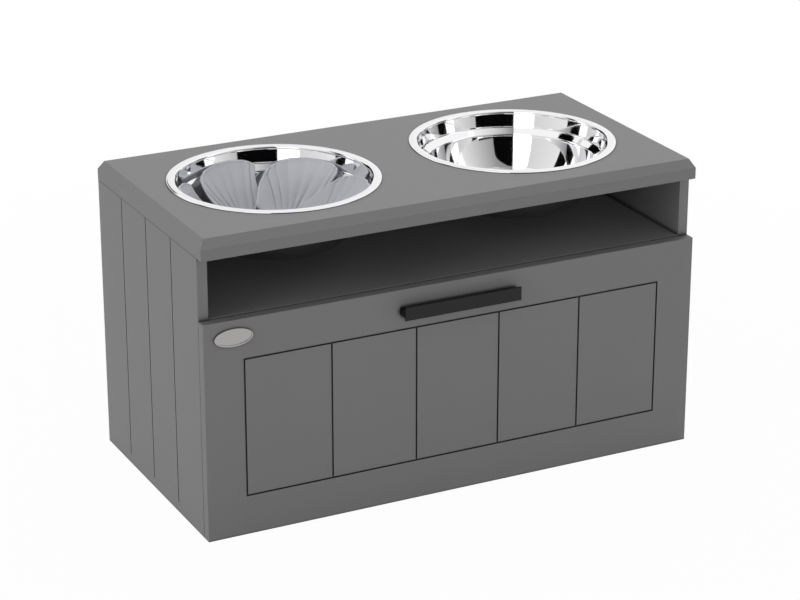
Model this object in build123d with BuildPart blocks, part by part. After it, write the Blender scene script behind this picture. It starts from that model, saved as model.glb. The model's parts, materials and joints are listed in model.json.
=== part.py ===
from build123d import *
import os

os.makedirs("parts", exist_ok=True)

# Elevated dog feeder with storage. Millimetres, X to the right, Y to the back, Z up.
# The origin is on the floor, in the middle of the whole object's plan.

# ---- cabinet ----
width = 600
depth = 298  # drawer front's face to the back edge
height = 345  # floor to the top board's upper face
board = 12
top_thickness = 23
bevel_across = 6
bevel_down = 10
edge_round = 0.6  # eased edges of every board
front_gap = 0.5  # closed drawer front to the side panels' front edges
bowl_clearance = 21  # shelf's upper face to the bowls' undersides
shelf_rise = 1.2  # shelf's upper face above the drawer front's top edge
side_groove_width = 1.6
side_groove_depth = 1.5
side_groove_stop = 12  # the grooves end this far above the panel's bottom
side_planks = 4

# ---- back panel, set into grooves of the sides and the top ----
back_thickness = 3
back_inset = 8
back_groove_depth = 5
groove_play = 0.2

# ---- feet ----
foot_height = 2
foot_radius = 9
foot_inset = 30

# ---- cam joints and dowels of the boards ----
cam_radius = 6
cam_height = 9.5
cam_play = 0.1
cam_distance = 24  # board's end to the cam's axis
cam_cross_length = 7
cam_cross_width = 1.2
cam_cross_depth = 1.5
bolt_thread_radius = 2.5
bolt_thread_length = 9
bolt_neck_radius = 1.6
bolt_neck_end = 3  # neck ends this far short of the cam's axis
bolt_head_radius = 2.4
bolt_head_length = 4
bolt_bore_radius = 3
dowel_radius = 3
dowel_into_face = 8
dowel_into_edge = 16
cam_front_setback = 95  # from the side panels' front edges
cam_rear_setback = 50  # from the back edges
dowel_front_setback = 40
dowel_rear_setback = 110

# ---- drawer ----
front_margin = 46  # drawer front's edge to the groove frame
front_planks = 5
front_groove_width = 2
front_groove_depth = 2
box_length = 262
box_floor_gap = 14  # bottom board to the drawer sides
box_head_gap = 33.2  # drawer sides to the shelf's underside
panel_thickness = 3  # drawer bottom
panel_rise = 10  # drawer sides' lower edge to the bottom panel
panel_groove_depth = 5
drawer_cam_edge = 30  # cams to the drawer side's upper and lower edges

# ---- telescopic slides, one pair ----
slide_thickness = 12.7
slide_height = 45
slide_length = 250
slide_setback = 2  # behind the side panels' front edges
slide_sheet = 1.2
slide_lip = 2.2
ball_radius = 1.6
ball_play = 0.05
outer_flange = 10.5  # reach of the outer member's flanges from the side panel
middle_web = 4.0  # middle member's web from the side panel
inner_flange = 6.2  # inner member's flange ends from the side panel
screw_hole_radius = 2.2
slide_screw_ends = 35  # end screws to the members' ends
slide_screws = 3

# ---- ball cages of the slides ----
cage_start = 67  # behind the members' front ends
cage_length = 110
cage_sheet = 0.8
cage_web_sheet = 0.4
cage_gap = 0.3  # cage's web to the member's web behind it
outer_cage_edge = 9.5
inner_cage_edge = 10.2
outer_ball_line = 7.0  # ball centres from the side panel
inner_ball_line = 7.4
balls_per_row = 6
ball_hole_play = 0.05

# ---- screws ----
screw_head_radius = 3.2
screw_head_height = 1.6
screw_radius = 1.5
screw_length = 10.4
handle_screw_head_radius = 4
handle_screw_head_height = 2.6
handle_screw_radius = 2
handle_screw_hole_play = 0.2
handle_screw_bite = 9
recess_length = 3.2
recess_width = 0.8
recess_depth = 1.0
panel_screws = 3
panel_screw_margin = 60

# ---- handle ----
handle_length = 142
handle_plate_height = 15.5
handle_plate_thickness = 2.2
handle_web_height = 7.5
handle_web_drop = 5  # plate's top edge to the web
handle_gap = 12  # drawer front to the plate
handle_drop = 15.7  # drawer front's top edge to the plate's top edge
handle_screw_spacing = 96

# ---- blank badge ----
badge_length = 44
badge_height = 20
badge_thickness = 1.2
badge_rim = 1.6
badge_rim_height = 0.6
badge_from_edge = 34
badge_from_top = 19

# ---- bowls ----
bowl_spacing = 298
bowl_setback = 152  # drawer front's face to the bowls' axes
sheet = 0.8
rim_radius = 118.5
rim_crown = 1.0
wall_radius = 108.3
wall_depth = 17.2
rollover = 2.0
ledge_radius = 99.4
ledge_depth = 25.6
belly_radius = 94.3
belly_depth = 48
heel_radius = 79
heel_depth = 64
heel_slope = 0.6  # fall per inward millimetre where the belly ends
base_radius = 62
bowl_depth = 70.8
bowl_hole_gap = 1.2

# ---- slow feeder insert: each petal is a scoop cut from a small cup of its own ----
petals = 6
petal_turn = 47.3  # first cup's direction in plan, degrees
cup_axis_out = 34.1  # bowl's axis to a cup's axis
cup_axis_aside = -6.6
cup_foot_radius = 10.1
cup_middle_radius = 54.1
cup_middle_height = 37
cup_tip_radius = 71.2
petal_height = 60.6  # above the bowl's floor
petal_wall = 2.4
petal_foot_half_width = 8
petal_stem_half_width = 21
petal_stem_height = 13
petal_waist_half_width = 35
petal_waist_height = 25
petal_belly_half_width = 40.7
petal_belly_height = 49
petal_belly_lean = 3.8
petal_shoulder_half_width = 33
petal_shoulder_height = 57.7
petal_shoulder_lean = 9.7
petal_tip_lean = 18
feeder_base_radius = 50
feeder_base_thickness = 3

# ---- heights and places that follow from the sizes above ----
handle_reach = handle_gap + handle_plate_thickness
front_y = (handle_reach - depth) / 2  # drawer front's face
back_y = front_y + depth
carcass_y = front_y + board + front_gap
back_panel_y = back_y - back_inset - back_thickness
half_width = width / 2
inner_half = half_width - board
top_underside = height - top_thickness
shelf_top = height - bowl_depth - bowl_clearance
front_top = shelf_top - shelf_rise
front_height = front_top - foot_height
shelf_middle = shelf_top - board / 2
bottom_middle = foot_height + board / 2
side_height = top_underside - foot_height
side_middle = foot_height + side_height / 2
side_depth = back_y - carcass_y
box_half = inner_half - slide_thickness
box_inner_half = box_half - board
box_y = front_y + board
box_back = box_y + box_length
box_bottom = foot_height + board + box_floor_gap
box_top = shelf_top - board - box_head_gap
box_height = box_top - box_bottom
panel_z = box_bottom + panel_rise
panel_top = panel_z + panel_thickness
slide_z = box_bottom + box_height / 2
slide_y = carcass_y + slide_setback
bowl_y = front_y + bowl_setback
bowl_x = bowl_spacing / 2
bowl_floor = height - bowl_depth + sheet
sides = (("left", -1), ("right", 1))
cam_rows = (carcass_y + cam_front_setback, back_y - cam_rear_setback)
dowel_rows = (carcass_y + dowel_front_setback, back_y - dowel_rear_setback)
down = (0, 0, -1)
up = (0, 0, 1)
backward = (0, 1, 0)
low_end = (Align.CENTER, Align.CENTER, Align.MIN)
high_end = (Align.CENTER, Align.CENTER, Align.MAX)


def board_end(point, into, cam_side):
    """Where a board's end meets another board's face: Z runs into the end, X to the cam's face."""
    return Plane(origin=point, x_dir=cam_side, z_dir=into)


def cam_seat(joint):
    """The cam's face plane, on the board's surface above the bolt's axis."""
    return Plane(origin=joint.from_local_coords((board / 2, 0, cam_distance)), z_dir=joint.x_dir)


def cut_bolt_holes(joints):
    with Locations(*joints):
        Cylinder(bolt_thread_radius, bolt_thread_length, align=high_end, mode=Mode.SUBTRACT)


def cut_cam_seats(joints):
    with Locations(*joints):
        Cylinder(bolt_bore_radius, cam_distance, align=low_end, mode=Mode.SUBTRACT)
    with Locations(*[cam_seat(joint) for joint in joints]):
        Cylinder(cam_radius + cam_play, cam_height, align=high_end, mode=Mode.SUBTRACT)


def cut_dowel_holes(joints):
    with Locations(*joints):
        Cylinder(dowel_radius, dowel_into_face, align=high_end, mode=Mode.SUBTRACT)
        Cylinder(dowel_radius, dowel_into_edge, align=low_end, mode=Mode.SUBTRACT)


def cut_screw_holes(frames):
    with Locations(*frames):
        Cylinder(screw_radius, screw_length, align=low_end, mode=Mode.SUBTRACT)


def spread(count, start, end):
    return [start + (end - start) * i / (count - 1) for i in range(count)]


# ---- where the boards are joined ----
top_cams = {}
top_dowels = {}
shelf_cams = {}
shelf_dowels = {}
bottom_cams = {}
bottom_dowels = {}
drawer_cams = {}
drawer_dowels = {}
for name, side in sides:
    inward = (-side, 0, 0)
    outward = (side, 0, 0)
    side_mid_x = side * (inner_half + board / 2)
    top_cams[name] = [board_end((side_mid_x, y, top_underside), down, inward) for y in cam_rows]
    top_dowels[name] = [board_end((side_mid_x, y, top_underside), down, inward) for y in dowel_rows]
    shelf_cams[name] = [board_end((side * inner_half, y, shelf_middle), inward, down) for y in cam_rows]
    shelf_dowels[name] = [board_end((side * inner_half, y, shelf_middle), inward, down) for y in dowel_rows]
    bottom_cams[name] = [board_end((side * inner_half, y, bottom_middle), inward, up) for y in cam_rows]
    bottom_dowels[name] = [board_end((side * inner_half, y, bottom_middle), inward, up) for y in dowel_rows]
    box_mid_x = side * (box_half - board / 2)
    cam_heights = (box_bottom + drawer_cam_edge, box_top - drawer_cam_edge)
    drawer_cams[name] = [board_end((box_mid_x, box_y, z), backward, outward) for z in cam_heights]
    drawer_dowels[name] = [board_end((box_mid_x, box_y, box_bottom + box_height / 2), backward, outward)]

both = [name for name, side in sides]

# ---- where the screws go: Z of each frame runs into the material, the head bears on its plane ----
back_screw_frames = []
for z in (shelf_middle, bottom_middle):
    for x in spread(panel_screws, panel_screw_margin - inner_half, inner_half - panel_screw_margin):
        back_screw_frames.append(Plane(origin=(x, back_panel_y + back_thickness, z), z_dir=(0, -1, 0)))

drawer_panel_screw_frames = []
for x in spread(panel_screws, panel_screw_margin - box_inner_half, box_inner_half - panel_screw_margin):
    drawer_panel_screw_frames.append(Plane(origin=(x, box_back - board / 2, panel_z), z_dir=up))

drawer_back_screw_frames = {}
outer_slide_screw_frames = {}
inner_slide_screw_frames = {}
first_slide_screw = slide_y + slide_screw_ends
last_slide_screw = slide_y + slide_length - slide_screw_ends
slide_screw_rows = spread(slide_screws, first_slide_screw, last_slide_screw)
for name, side in sides:
    drawer_back_screw_frames[name] = []
    for z in (box_bottom + drawer_cam_edge, box_top - drawer_cam_edge):
        point = (side * box_half, box_back - board / 2, z)
        drawer_back_screw_frames[name].append(Plane(origin=point, z_dir=(-side, 0, 0)))
    outer_slide_screw_frames[name] = []
    inner_slide_screw_frames[name] = []
    for y in slide_screw_rows:
        outer_point = (side * (inner_half - slide_sheet), y, slide_z)
        inner_point = (side * (box_half + slide_sheet), y, slide_z)
        outer_slide_screw_frames[name].append(Plane(origin=outer_point, z_dir=(side, 0, 0)))
        inner_slide_screw_frames[name].append(Plane(origin=inner_point, z_dir=(-side, 0, 0)))

handle_top = front_top - handle_drop
handle_web_top = handle_top - handle_web_drop
handle_web_z = handle_web_top - handle_web_height / 2
handle_screw_frames = []
for x in (-handle_screw_spacing / 2, handle_screw_spacing / 2):
    handle_screw_frames.append(Plane(origin=(x, box_y, handle_web_z), z_dir=(0, -1, 0)))

# ---- side panels ----
for name, side in sides:
    with BuildPart() as side_panel:
        with BuildSketch(Plane.YZ.offset(side * inner_half)):
            with Locations((carcass_y + side_depth / 2, side_middle)):
                Rectangle(side_depth, side_height)
        extrude(amount=side * board)
        fillet(side_panel.edges(), edge_round)
        # vertical grooves between the outside's planks
        groove_bottom = foot_height + side_groove_stop
        groove_length = top_underside - groove_bottom
        plank = side_depth / side_planks
        with BuildSketch(Plane.YZ.offset(side * half_width)):
            for i in range(1, side_planks):
                with Locations((carcass_y + i * plank, groove_bottom + groove_length / 2)):
                    Rectangle(side_groove_width, groove_length)
        extrude(amount=-side * side_groove_depth, mode=Mode.SUBTRACT)
        # groove for the back panel
        with BuildSketch(Plane.YZ.offset(side * inner_half)):
            with Locations((back_panel_y + back_thickness / 2, side_middle)):
                Rectangle(back_thickness + 2 * groove_play, side_height)
        extrude(amount=side * back_groove_depth, mode=Mode.SUBTRACT)
        cut_bolt_holes(shelf_cams[name] + bottom_cams[name])
        cut_cam_seats(top_cams[name])
        cut_dowel_holes(top_dowels[name] + shelf_dowels[name] + bottom_dowels[name])
        cut_screw_holes(outer_slide_screw_frames[name])
    side_panel.part.label = f"side_panel_{name}"
    export_step(side_panel.part, f"parts/side_panel_{name}.step")

# ---- top board with its bevel and the two bowl holes ----
with BuildPart() as top_board:
    with BuildSketch(Plane.XY.offset(top_underside)):
        with Locations((0, front_y + depth / 2)):
            Rectangle(width, depth)
    extrude(amount=top_thickness)
    upper_face = top_board.faces().sort_by(Axis.Z)[-1]
    chamfer(upper_face.edges(), length=bevel_across, length2=bevel_down, reference=upper_face)
    fillet(top_board.faces().sort_by(Axis.Z)[0].edges(), edge_round)
    with Locations((-bowl_x, bowl_y, height), (bowl_x, bowl_y, height)):
        Hole(wall_radius + bowl_hole_gap, depth=top_thickness)
    # groove for the back panel's upper edge
    with BuildSketch(Plane.XY.offset(top_underside)):
        with Locations((0, back_panel_y + back_thickness / 2)):
            Rectangle(2 * (inner_half + back_groove_depth), back_thickness + 2 * groove_play)
    extrude(amount=back_groove_depth, mode=Mode.SUBTRACT)
    cut_bolt_holes(top_cams["left"] + top_cams["right"])
    cut_dowel_holes(top_dowels["left"] + top_dowels["right"])
top_board.part.label = "top_board"
export_step(top_board.part, "parts/top_board.step")

# ---- shelf under the bowls, and the bottom board ----
inner_depth = back_panel_y - carcass_y
with BuildPart() as shelf_board:
    with BuildSketch(Plane.XY.offset(shelf_top - board)):
        with Locations((0, carcass_y + inner_depth / 2)):
            Rectangle(2 * inner_half, inner_depth)
    extrude(amount=board)
    fillet(shelf_board.edges().filter_by(Axis.X).group_by(Axis.Y)[0], edge_round)
    cut_cam_seats(shelf_cams["left"] + shelf_cams["right"])
    cut_dowel_holes(shelf_dowels["left"] + shelf_dowels["right"])
    cut_screw_holes(back_screw_frames[:panel_screws])
shelf_board.part.label = "shelf_board"
export_step(shelf_board.part, "parts/shelf_board.step")

with BuildPart() as bottom_board:
    with BuildSketch(Plane.XY.offset(foot_height)):
        with Locations((0, carcass_y + inner_depth / 2)):
            Rectangle(2 * inner_half, inner_depth)
    extrude(amount=board)
    fillet(bottom_board.edges().filter_by(Axis.X).group_by(Axis.Y)[0], edge_round)
    cut_cam_seats(bottom_cams["left"] + bottom_cams["right"])
    cut_dowel_holes(bottom_dowels["left"] + bottom_dowels["right"])
    cut_screw_holes(back_screw_frames[panel_screws:])
bottom_board.part.label = "bottom_board"
export_step(bottom_board.part, "parts/bottom_board.step")

# ---- back panel ----
with BuildPart() as back_panel:
    back_panel_half = inner_half + back_groove_depth - groove_play
    back_panel_height = side_height + back_groove_depth - groove_play
    with BuildSketch(Plane.XZ.offset(-back_panel_y)):
        with Locations((0, foot_height + back_panel_height / 2)):
            Rectangle(2 * back_panel_half, back_panel_height)
    extrude(amount=-back_thickness)
    cut_screw_holes(back_screw_frames)
back_panel.part.label = "back_panel"
export_step(back_panel.part, "parts/back_panel.step")

# ---- foot pads ----
with BuildPart() as foot_pads:
    foot_x = inner_half - foot_inset
    foot_span = inner_depth - 2 * foot_inset
    with Locations((0, carcass_y + inner_depth / 2, 0)):
        with GridLocations(2 * foot_x, foot_span, 2, 2):
            Cylinder(foot_radius, foot_height, align=low_end)
foot_pads.part.label = "foot_pads"
export_step(foot_pads.part, "parts/foot_pads.step")

# ---- one cam bolt, cam lock and dowel, with Z into the board's end ----
with BuildPart() as cam_bolt:
    Cylinder(bolt_thread_radius, bolt_thread_length, align=high_end)
    Cylinder(bolt_neck_radius, cam_distance - bolt_neck_end, align=low_end)
    with Locations((0, 0, cam_distance - bolt_neck_end)):
        Cylinder(bolt_head_radius, bolt_head_length, align=low_end)

with BuildPart() as cam_lock:
    Cylinder(cam_radius, cam_height, align=high_end)
    with Locations(Plane(origin=(0, 0, -board / 2), z_dir=(1, 0, 0))):
        Cylinder(bolt_bore_radius, cam_radius + bolt_head_length, mode=Mode.SUBTRACT, align=low_end)
        Cylinder(bolt_bore_radius, bolt_head_length, mode=Mode.SUBTRACT, align=high_end)
    with Locations((0, 0, 0)):
        Box(cam_cross_length, cam_cross_width, cam_cross_depth, mode=Mode.SUBTRACT, align=high_end)
        Box(cam_cross_width, cam_cross_length, cam_cross_depth, mode=Mode.SUBTRACT, align=high_end)

with BuildPart() as dowel:
    Cylinder(dowel_radius, dowel_into_face, align=high_end)
    Cylinder(dowel_radius, dowel_into_edge, align=low_end)
    chamfer(dowel.edges().group_by(Axis.Z)[0] + dowel.edges().group_by(Axis.Z)[-1], edge_round)


def lock_frame(joint):
    """The cam's own frame: Z out of the board's surface, X back to the bolt's thread."""
    seat = cam_seat(joint)
    return Plane(origin=seat.origin, x_dir=-joint.z_dir, z_dir=seat.z_dir)


def place_bolts(joints):
    with Locations(*joints):
        add(cam_bolt.part)


def place_locks(joints):
    with Locations(*[lock_frame(joint) for joint in joints]):
        add(cam_lock.part)


def place_dowels(joints):
    with Locations(*joints):
        add(dowel.part)


cabinet_cam_joints = []
cabinet_dowel_joints = []
drawer_cam_joints = []
drawer_dowel_joints = []
for name in both:
    cabinet_cam_joints += top_cams[name] + shelf_cams[name] + bottom_cams[name]
    cabinet_dowel_joints += top_dowels[name] + shelf_dowels[name] + bottom_dowels[name]
    drawer_cam_joints += drawer_cams[name]
    drawer_dowel_joints += drawer_dowels[name]

with BuildPart() as cam_bolts:
    place_bolts(cabinet_cam_joints)
cam_bolts.part.label = "cam_bolts"
export_step(cam_bolts.part, "parts/cam_bolts.step")

with BuildPart() as cam_locks:
    place_locks(cabinet_cam_joints)
cam_locks.part.label = "cam_locks"
export_step(cam_locks.part, "parts/cam_locks.step")

with BuildPart() as dowels:
    place_dowels(cabinet_dowel_joints)
dowels.part.label = "dowels"
export_step(dowels.part, "parts/dowels.step")

with BuildPart() as drawer_cam_bolts:
    place_bolts(drawer_cam_joints)
drawer_cam_bolts.part.label = "drawer_cam_bolts"
export_step(drawer_cam_bolts.part, "parts/drawer_cam_bolts.step")

with BuildPart() as drawer_cam_locks:
    place_locks(drawer_cam_joints)
drawer_cam_locks.part.label = "drawer_cam_locks"
export_step(drawer_cam_locks.part, "parts/drawer_cam_locks.step")

with BuildPart() as drawer_dowel_pins:
    place_dowels(drawer_dowel_joints)
drawer_dowel_pins.part.label = "drawer_dowels"
export_step(drawer_dowel_pins.part, "parts/drawer_dowels.step")

# ---- one panel screw, with its head above the XY plane's underside and its shank along +Z ----
with BuildPart() as panel_screw:
    Cylinder(screw_head_radius, screw_head_height, align=high_end)
    fillet(panel_screw.edges().sort_by(Axis.Z)[0], screw_head_height / 2)
    Cylinder(screw_radius, screw_length, align=low_end)
    with Locations((0, 0, -screw_head_height)):
        Box(recess_length, recess_width, recess_depth, mode=Mode.SUBTRACT, align=low_end)
        Box(recess_width, recess_length, recess_depth, mode=Mode.SUBTRACT, align=low_end)

screw_groups = {
    "back_panel_screws": back_screw_frames,
    "drawer_bottom_screws": drawer_panel_screw_frames,
    "drawer_back_screws": drawer_back_screw_frames["left"] + drawer_back_screw_frames["right"],
    "slide_outer_screws": outer_slide_screw_frames["left"] + outer_slide_screw_frames["right"],
    "slide_inner_screws": inner_slide_screw_frames["left"] + inner_slide_screw_frames["right"],
}
for name, frames in screw_groups.items():
    with BuildPart() as screws:
        with Locations(*frames):
            add(panel_screw.part)
    screws.part.label = name
    export_step(screws.part, f"parts/{name}.step")

# ---- drawer front ----
with BuildPart() as drawer_front:
    with BuildSketch(Plane.XZ.offset(-front_y)):
        with Locations((0, foot_height + front_height / 2)):
            Rectangle(width, front_height)
    extrude(amount=-board)
    fillet(drawer_front.edges(), edge_round)
    # frame groove and the plank grooves inside it
    frame_width = width - 2 * front_margin
    frame_height = front_height - 2 * front_margin
    with BuildSketch(Plane.XZ.offset(-front_y)):
        with Locations((0, foot_height + front_height / 2)):
            Rectangle(frame_width + front_groove_width, frame_height + front_groove_width)
            Rectangle(
                frame_width - front_groove_width, frame_height - front_groove_width, mode=Mode.SUBTRACT
            )
            with GridLocations(frame_width / front_planks, 0, front_planks - 1, 1):
                Rectangle(front_groove_width, frame_height)
    extrude(amount=-front_groove_depth, mode=Mode.SUBTRACT)
    # groove for the bottom panel's front edge
    with BuildSketch(Plane.XZ.offset(-box_y)):
        with Locations((0, panel_z + panel_thickness / 2)):
            Rectangle(2 * (box_inner_half + panel_groove_depth), panel_thickness + 2 * groove_play)
    extrude(amount=panel_groove_depth, mode=Mode.SUBTRACT)
    cut_bolt_holes(drawer_cam_joints)
    cut_dowel_holes(drawer_dowel_joints)
    with Locations(*handle_screw_frames):
        Cylinder(
            handle_screw_radius + handle_screw_hole_play, board, align=low_end, mode=Mode.SUBTRACT
        )
drawer_front.part.label = "drawer_front"
export_step(drawer_front.part, "parts/drawer_front.step")

# ---- drawer sides ----
for name, side in sides:
    with BuildPart() as drawer_side:
        with BuildSketch(Plane.YZ.offset(side * box_inner_half)):
            with Locations((box_y + box_length / 2, box_bottom + box_height / 2)):
                Rectangle(box_length, box_height)
        extrude(amount=side * board)
        fillet(drawer_side.edges().filter_by(Axis.Y).group_by(Axis.Z)[-1], edge_round)
        with BuildSketch(Plane.YZ.offset(side * box_inner_half)):
            with Locations((box_y + box_length / 2, panel_z + panel_thickness / 2)):
                Rectangle(box_length, panel_thickness + 2 * groove_play)
        extrude(amount=side * panel_groove_depth, mode=Mode.SUBTRACT)
        cut_cam_seats(drawer_cams[name])
        cut_dowel_holes(drawer_dowels[name])
        cut_screw_holes(drawer_back_screw_frames[name] + inner_slide_screw_frames[name])
    drawer_side.part.label = f"drawer_side_{name}"
    export_step(drawer_side.part, f"parts/drawer_side_{name}.step")

# ---- drawer back, standing on the bottom panel ----
with BuildPart() as drawer_back:
    drawer_back_height = box_top - panel_top
    with BuildSketch(Plane.XZ.offset(-box_back)):
        with Locations((0, panel_top + drawer_back_height / 2)):
            Rectangle(2 * box_inner_half, drawer_back_height)
    extrude(amount=board)
    fillet(drawer_back.edges().filter_by(Axis.X).group_by(Axis.Z)[-1], edge_round)
    cut_screw_holes(drawer_panel_screw_frames)
    cut_screw_holes(drawer_back_screw_frames["left"] + drawer_back_screw_frames["right"])
drawer_back.part.label = "drawer_back"
export_step(drawer_back.part, "parts/drawer_back.step")

# ---- drawer bottom panel ----
with BuildPart() as drawer_bottom:
    panel_front = box_y - panel_groove_depth + groove_play
    panel_half = box_inner_half + panel_groove_depth - groove_play
    with BuildSketch(Plane.XY.offset(panel_z)):
        with Locations((0, (panel_front + box_back) / 2)):
            Rectangle(2 * panel_half, box_back - panel_front)
    extrude(amount=panel_thickness)
    cut_screw_holes(drawer_panel_screw_frames)
drawer_bottom.part.label = "drawer_bottom"
export_step(drawer_bottom.part, "parts/drawer_bottom.step")

# ---- handle: a T section, its web against the drawer front ----
with BuildPart() as handle:
    with BuildSketch(Plane.YZ.offset(-handle_length / 2)):
        with Locations((front_y - handle_reach, handle_top)):
            Rectangle(handle_plate_thickness, handle_plate_height, align=(Align.MIN, Align.MAX))
        with Locations((front_y, handle_web_top)):
            Rectangle(handle_gap, handle_web_height, align=(Align.MAX, Align.MAX))
    extrude(amount=handle_length)
    fillet(handle.faces().sort_by(Axis.Y)[0].edges(), edge_round)
    with Locations(*handle_screw_frames):
        Cylinder(
            handle_screw_radius, board + handle_screw_bite, align=low_end, mode=Mode.SUBTRACT
        )
handle.part.label = "handle"
export_step(handle.part, "parts/handle.step")

with BuildPart() as handle_screw:
    Cylinder(handle_screw_head_radius, handle_screw_head_height, align=high_end)
    fillet(handle_screw.edges().sort_by(Axis.Z)[0], handle_screw_head_height / 2)
    Cylinder(handle_screw_radius, board + handle_screw_bite, align=low_end)
    with Locations((0, 0, -handle_screw_head_height)):
        Box(recess_length, recess_width, recess_depth, mode=Mode.SUBTRACT, align=low_end)
        Box(recess_width, recess_length, recess_depth, mode=Mode.SUBTRACT, align=low_end)

with BuildPart() as handle_screws:
    with Locations(*handle_screw_frames):
        add(handle_screw.part)
handle_screws.part.label = "handle_screws"
export_step(handle_screws.part, "parts/handle_screws.step")

# ---- blank badge with a raised rim ----
with BuildPart() as badge_plate:
    badge_centre = (badge_from_edge - half_width, front_top - badge_from_top)
    with BuildSketch(Plane.XZ.offset(-front_y)):
        with Locations(badge_centre):
            Ellipse(badge_length / 2, badge_height / 2)
    extrude(amount=badge_thickness)
    with BuildSketch(Plane.XZ.offset(-front_y + badge_thickness)):
        with Locations(badge_centre):
            Ellipse(badge_length / 2, badge_height / 2)
            Ellipse(badge_length / 2 - badge_rim, badge_height / 2 - badge_rim, mode=Mode.SUBTRACT)
    extrude(amount=badge_rim_height)
badge_plate.part.label = "badge_plate"
export_step(badge_plate.part, "parts/badge_plate.step")

# ---- slide members: nested channels between the side panel and the drawer side ----
# Distances across the slide are counted from the side panel's inner face.
ball_gap = 2 * (ball_radius + ball_play)
outer_half_height = slide_height / 2
middle_half_height = outer_half_height - slide_sheet - ball_gap
inner_half_height = middle_half_height - slide_sheet - ball_gap


def box_section(side, near, far, low, high, mode=Mode.ADD):
    """A rectangle of the slide's section, from near to far of the side panel's inner face."""
    near_x = side * (inner_half - near)
    far_x = side * (inner_half - far)
    with Locations(((near_x + far_x) / 2, slide_z + (low + high) / 2)):
        Rectangle(abs(far_x - near_x), high - low, mode=mode)


def channel_section(side, web_near, open_edge, half_height, web_sheet, flange_sheet):
    """A channel whose web starts at web_near and whose flanges end at open_edge."""
    toward = 1 if open_edge > web_near else -1
    box_section(side, web_near, open_edge, -half_height, half_height)
    hollow_half = half_height - flange_sheet
    web_inner = web_near + toward * web_sheet
    box_section(side, web_inner, open_edge, -hollow_half, hollow_half, mode=Mode.SUBTRACT)


def lip_sections(side, edge, half_height):
    """Lips turned in at both flange ends, which keep the balls in."""
    for sign in (-1, 1):
        ends = sorted((sign * half_height, sign * (half_height - slide_lip)))
        box_section(side, edge - slide_sheet, edge, ends[0], ends[1])


for name, side in sides:
    section_plane = Plane.XZ.offset(-slide_y)
    with BuildPart() as slide_outer:
        with BuildSketch(section_plane):
            channel_section(side, 0, outer_flange, outer_half_height, slide_sheet, slide_sheet)
            lip_sections(side, outer_flange, outer_half_height)
        extrude(amount=-slide_length)
        with Locations(*outer_slide_screw_frames[name]):
            Cylinder(screw_hole_radius, slide_sheet, align=low_end, mode=Mode.SUBTRACT)
    slide_outer.part.label = f"slide_outer_{name}"
    export_step(slide_outer.part, f"parts/slide_outer_{name}.step")

    with BuildPart() as slide_middle:
        with BuildSketch(section_plane):
            channel_section(side, middle_web, outer_flange, middle_half_height, slide_sheet, slide_sheet)
            lip_sections(side, outer_flange, middle_half_height)
        extrude(amount=-slide_length)
    slide_middle.part.label = f"slide_middle_{name}"
    export_step(slide_middle.part, f"parts/slide_middle_{name}.step")

    with BuildPart() as slide_inner:
        with BuildSketch(section_plane):
            channel_section(
                side, slide_thickness, inner_flange, inner_half_height, slide_sheet, slide_sheet
            )
        extrude(amount=-slide_length)
        with Locations(*inner_slide_screw_frames[name]):
            Cylinder(screw_hole_radius, slide_sheet, align=low_end, mode=Mode.SUBTRACT)
    slide_inner.part.label = f"slide_inner_{name}"
    export_step(slide_inner.part, f"parts/slide_inner_{name}.step")

    # the two ball cages: a thin channel with its balls in both flanges
    outer_row = (outer_half_height - slide_sheet + middle_half_height) / 2
    inner_row = (middle_half_height - slide_sheet + inner_half_height) / 2
    outer_cage_web = middle_web - cage_gap - cage_web_sheet
    inner_cage_web = middle_web + slide_sheet + cage_gap
    cages = (
        ("outer", outer_cage_web, outer_cage_edge, outer_row, outer_ball_line),
        ("inner", inner_cage_web, inner_cage_edge, inner_row, inner_ball_line),
    )
    for stage, web_near, edge, row, ball_line in cages:
        ball_points = []
        for y in spread(balls_per_row, slide_y + cage_start, slide_y + cage_start + cage_length):
            for z in (slide_z - row, slide_z + row):
                ball_points.append((side * (inner_half - ball_line), y, z))
        cage_extra = 2 * ball_radius
        with BuildPart() as ball_cage:
            with BuildSketch(Plane.XZ.offset(cage_extra - slide_y - cage_start)):
                channel_section(side, web_near, edge, row + cage_sheet / 2, cage_web_sheet, cage_sheet)
            extrude(amount=-cage_length - 2 * cage_extra)
            with Locations(*ball_points):
                Cylinder(ball_radius + ball_hole_play, 2 * cage_sheet, mode=Mode.SUBTRACT)
                Sphere(ball_radius)
        ball_cage.part.label = f"ball_cage_{stage}_{name}"
        export_step(ball_cage.part, f"parts/ball_cage_{stage}_{name}.step")

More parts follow.
